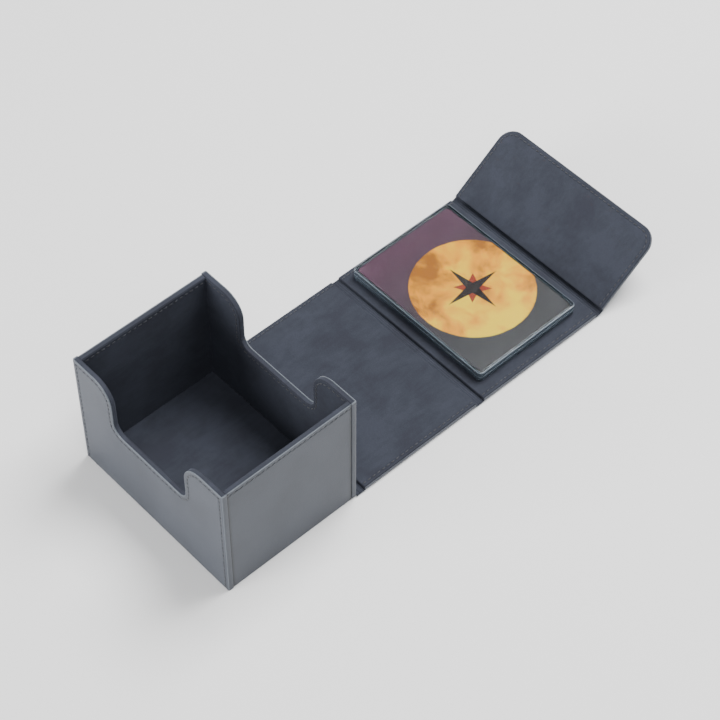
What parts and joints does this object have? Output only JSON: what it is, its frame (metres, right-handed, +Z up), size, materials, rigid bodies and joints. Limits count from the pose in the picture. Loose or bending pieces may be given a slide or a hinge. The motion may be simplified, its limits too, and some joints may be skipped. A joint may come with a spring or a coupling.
{
  "type": "card deck box",
  "caption": "Leather-covered box for a deck of cards, with scooped walls, a wrap-around cover with a magnetic flap, and a clear display case inside the lid.",
  "frame": {"origin": "centre of the tray's underside, where it stands", "axes": "+Z up; +Y from the tray towards the opened cover; +X along the long side of a card, to the right seen from the front wall"},
  "size_m": [0.107, 0.2876, 0.074],
  "materials": {
    "leather": "fine-grained grey polyurethane leather, satin",
    "lining": "dark blue-grey microfibre suede",
    "board": "raw grey bookbinding board",
    "magnet": "bright nickel plating",
    "clear_plastic": "polished clear acrylic",
    "printed_card": "printed card with a gold disc on a plum ground",
    "adhesive_pad": "dark foam mounting pad"
  },
  "bodies": {
    "tray": {"base_leather": "leather", "floor_board": "board", "floor_lining": "lining", "front_wall_leather": "leather", "front_wall_board": "board", "front_wall_lining": "lining", "front_wall_magnets": "magnet", "back_wall_leather": "leather", "back_wall_board": "board", "back_wall_lining": "lining", "left_wall_leather": "leather", "left_wall_board": "board", "left_wall_lining": "lining", "right_wall_leather": "leather", "right_wall_board": "board", "right_wall_lining": "lining", "base_hinge_leather": "leather", "base_hinge_lining": "lining"},
    "back_panel": {"back_panel_leather": "leather", "back_panel_board": "board", "back_panel_lining": "lining", "spine_hinge_leather": "leather", "spine_hinge_lining": "lining"},
    "top_panel": {"top_panel_leather": "leather", "top_panel_board": "board", "top_panel_lining": "lining", "flap_hinge_leather": "leather", "flap_hinge_lining": "lining", "display_pad": "adhesive_pad", "display_base": "clear_plastic", "display_card": "printed_card"},
    "flap": {"flap_leather": "leather", "flap_board": "board", "flap_lining": "lining", "flap_magnets": "magnet"},
    "display_cover": {"display_cover": "clear_plastic"}
  },
  "joints": [
    {"name": "base_hinge", "type": "hinge", "parent": "tray", "child": "back_panel", "pos_m": [0, 0.0426, 0.0006], "axis": [1, 0, 0], "range_deg": [0, 90], "deforming": ["base_hinge_leather", "base_hinge_lining"]},
    {"name": "spine_hinge", "type": "hinge", "parent": "back_panel", "child": "top_panel", "pos_m": [0, 0.122, 0.0006], "axis": [1, 0, 0], "range_deg": [0, 90], "deforming": ["spine_hinge_leather", "spine_hinge_lining"]},
    {"name": "flap_hinge", "type": "hinge", "parent": "top_panel", "child": "flap", "pos_m": [0, 0.2072, 0.0006], "axis": [1, 0, 0], "range_deg": [-36, 54], "deforming": ["flap_hinge_leather", "flap_hinge_lining"]},
    {"name": "display_cover_lift", "type": "slide", "parent": "top_panel", "child": "display_cover", "axis": [0, 0, 1], "range_m": [0, 0.012]}
  ]
}
